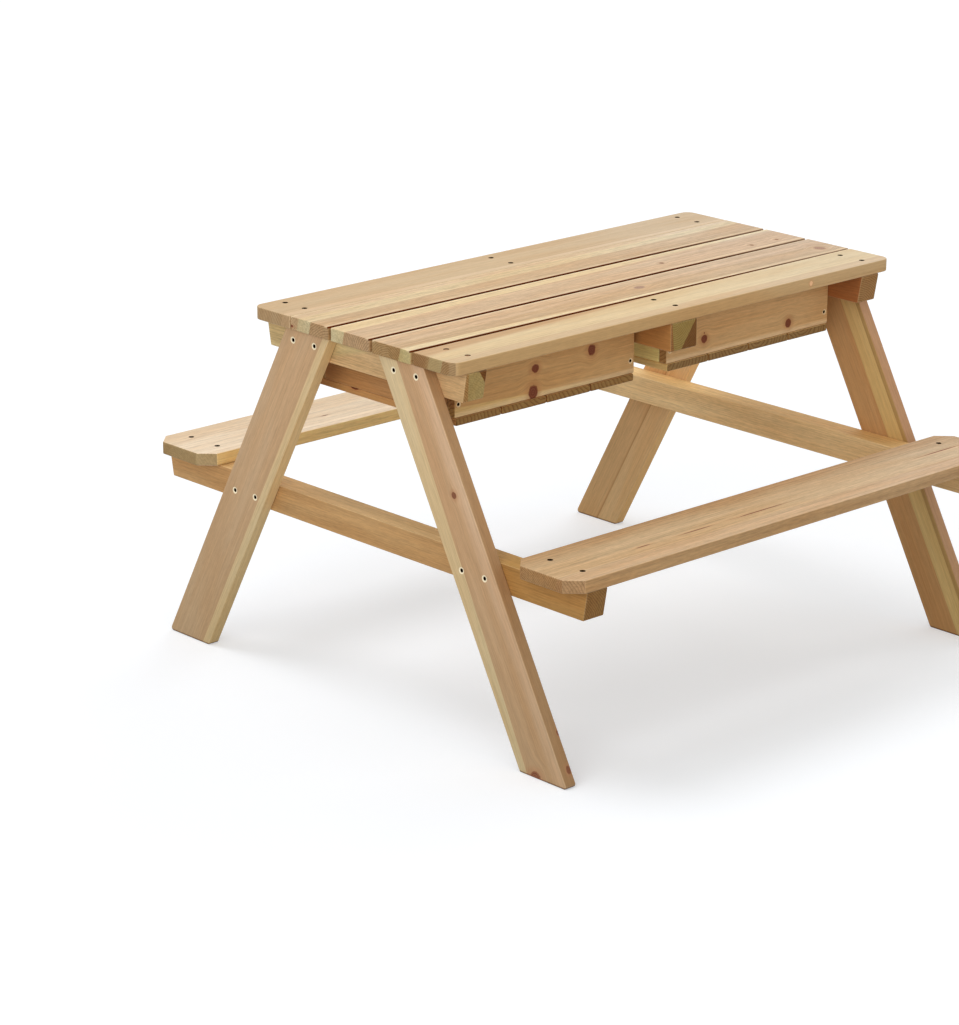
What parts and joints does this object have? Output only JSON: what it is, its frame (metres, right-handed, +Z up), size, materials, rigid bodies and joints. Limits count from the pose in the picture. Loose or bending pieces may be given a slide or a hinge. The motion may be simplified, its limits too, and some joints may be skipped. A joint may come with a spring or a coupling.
{
  "type": "children's picnic table with sandbox",
  "caption": "Children's wooden picnic table with two fixed bench seats, splayed legs, slatted sand boxes under the top and a lift-off lid of boards.",
  "frame": {"origin": "on the floor under the middle of the table", "axes": "+X along the table to its right end, +Y to the back, +Z up; the seats are at the front and the back"},
  "size_m": [0.896, 0.898, 0.55],
  "materials": {
    "light_wood": "planed, unfinished",
    "reddish_wood": "planed, unfinished",
    "screw_steel": "dark, dull"
  },
  "bodies": {
    "table": {"tabletop_front_board": "light_wood", "tabletop_back_board": "light_wood", "front_seat": "light_wood", "back_seat": "light_wood", "front_left_leg": "light_wood", "front_right_leg": "light_wood", "back_left_leg": "light_wood", "back_right_leg": "light_wood", "left_top_beam": "reddish_wood", "right_top_beam": "reddish_wood", "middle_top_beam": "reddish_wood", "left_seat_beam": "reddish_wood", "right_seat_beam": "reddish_wood", "left_box_front_wall": "reddish_wood", "left_box_back_wall": "reddish_wood", "left_box_outer_wall": "reddish_wood", "left_box_inner_wall": "reddish_wood", "right_box_front_wall": "reddish_wood", "right_box_back_wall": "reddish_wood", "right_box_outer_wall": "reddish_wood", "right_box_inner_wall": "reddish_wood", "left_box_slat_1": "reddish_wood", "left_box_slat_2": "reddish_wood", "left_box_slat_3": "reddish_wood", "left_box_slat_4": "reddish_wood", "right_box_slat_1": "reddish_wood", "right_box_slat_2": "reddish_wood", "right_box_slat_3": "reddish_wood", "right_box_slat_4": "reddish_wood", "leg_screw_front_left_top_inner": "screw_steel", "leg_screw_front_left_top_outer": "screw_steel", "leg_screw_front_left_seat_inner": "screw_steel", "leg_screw_front_left_seat_outer": "screw_steel", "leg_screw_front_right_top_inner": "screw_steel", "leg_screw_front_right_top_outer": "screw_steel", "leg_screw_front_right_seat_inner": "screw_steel", "leg_screw_front_right_seat_outer": "screw_steel", "leg_screw_back_left_top_inner": "screw_steel", "leg_screw_back_left_top_outer": "screw_steel", "leg_screw_back_left_seat_inner": "screw_steel", "leg_screw_back_left_seat_outer": "screw_steel", "leg_screw_back_right_top_inner": "screw_steel", "leg_screw_back_right_top_outer": "screw_steel", "leg_screw_back_right_seat_inner": "screw_steel", "leg_screw_back_right_seat_outer": "screw_steel"},
    "lid": {"lid_front_board": "light_wood", "lid_middle_board": "light_wood", "lid_back_board": "light_wood", "lid_left_batten": "reddish_wood", "lid_right_batten": "reddish_wood"}
  },
  "joints": [
    {"name": "lid_lift", "type": "slide", "parent": "table", "child": "lid", "axis": [0, 0, 1], "range_m": [0, 0.15]}
  ]
}
